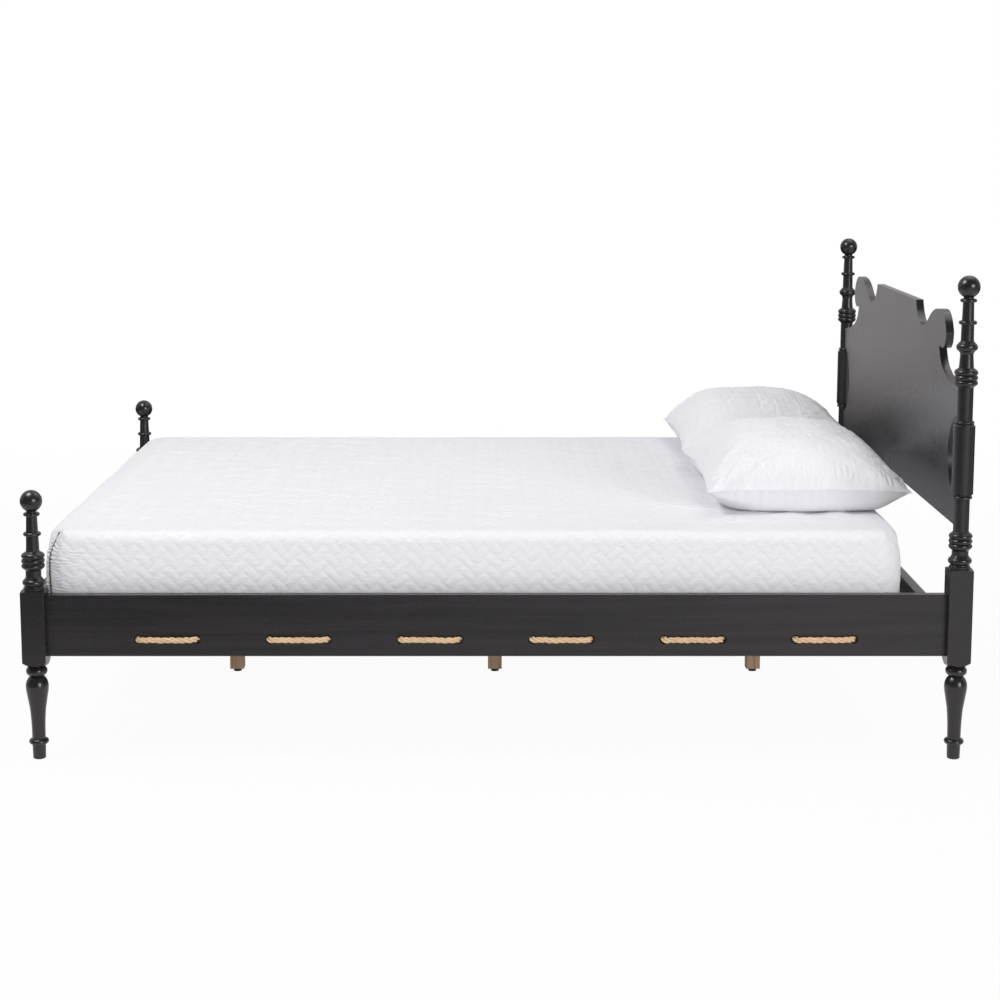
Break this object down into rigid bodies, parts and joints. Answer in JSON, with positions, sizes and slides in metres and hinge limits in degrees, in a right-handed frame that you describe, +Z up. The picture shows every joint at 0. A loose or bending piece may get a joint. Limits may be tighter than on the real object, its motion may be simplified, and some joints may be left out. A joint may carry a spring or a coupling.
{
  "type": "platform bed",
  "caption": "Bed with turned corner posts, a swan-neck headboard panel, rope-laced side rails and a slatted deck that carries a mattress and pillows",
  "frame": {"origin": "On the floor at the middle of the bed's footprint", "axes": "+X runs from the foot to the head along the bed's length, +Y to the left seen from the foot, +Z up"},
  "size_m": [2.231, 1.65, 1.1469],
  "materials": {
    "lacquered_wood": "near-black charcoal satin lacquer over fine grain",
    "bare_wood": "planed, unfinished",
    "rope": "three-strand natural fibre rope",
    "steel": "zinc plated",
    "glide": "moulded, matt",
    "mattress_cover": "white knit cover, quilted in chevrons",
    "pillow_cover": "white washed cotton"
  },
  "bodies": {
    "frame": {"foot_post_right": "lacquered_wood", "foot_post_left": "lacquered_wood", "head_post_right": "lacquered_wood", "head_post_left": "lacquered_wood", "headboard_panel": "lacquered_wood", "foot_rail": "lacquered_wood", "head_rail": "lacquered_wood", "side_rail_right": "lacquered_wood", "side_rail_left": "lacquered_wood", "slat_01": "bare_wood", "slat_02": "bare_wood", "slat_03": "bare_wood", "slat_04": "bare_wood", "slat_05": "bare_wood", "slat_06": "bare_wood", "slat_07": "bare_wood", "slat_08": "bare_wood", "slat_09": "bare_wood", "slat_10": "bare_wood", "slat_11": "bare_wood", "slat_12": "bare_wood", "slat_13": "bare_wood", "cleat_right": "bare_wood", "cleat_left": "bare_wood", "centre_beam": "bare_wood", "support_leg_foot": "bare_wood", "support_leg_middle": "bare_wood", "support_leg_head": "bare_wood", "rope_lacing_right": "rope", "rope_lacing_left": "rope", "beam_hanger_foot": "steel", "beam_hanger_head": "steel", "head_rail_angle_right": "steel", "head_rail_angle_left": "steel", "leg_studs": "steel", "rail_bolts": "steel", "barrel_nuts": "steel", "slat_screws": "steel", "cleat_screws": "steel", "bracket_screws": "steel"},
    "glide_foot": {"leg_glide_foot": "glide"},
    "glide_middle": {"leg_glide_middle": "glide"},
    "glide_head": {"leg_glide_head": "glide"},
    "mattress": {"mattress": "mattress_cover"},
    "pillow_right": {"pillow_right": "pillow_cover"},
    "pillow_left": {"pillow_left": "pillow_cover"}
  },
  "joints": [
    {"name": "glide_foot_thread", "type": "slide", "parent": "frame", "child": "glide_foot", "axis": [0, 0, 1], "range_m": [-0.012, 0]},
    {"name": "glide_middle_thread", "type": "slide", "parent": "frame", "child": "glide_middle", "axis": [0, 0, 1], "range_m": [-0.012, 0]},
    {"name": "glide_head_thread", "type": "slide", "parent": "frame", "child": "glide_head", "axis": [0, 0, 1], "range_m": [-0.012, 0]},
    {"name": "mattress_lift", "type": "slide", "parent": "frame", "child": "mattress", "axis": [0, 0, 1], "range_m": [0, 0.35]},
    {"name": "pillow_right_lift", "type": "slide", "parent": "mattress", "child": "pillow_right", "axis": [0, 0, 1], "range_m": [0, 0.25]},
    {"name": "pillow_left_lift", "type": "slide", "parent": "mattress", "child": "pillow_left", "axis": [0, 0, 1], "range_m": [0, 0.25]}
  ]
}
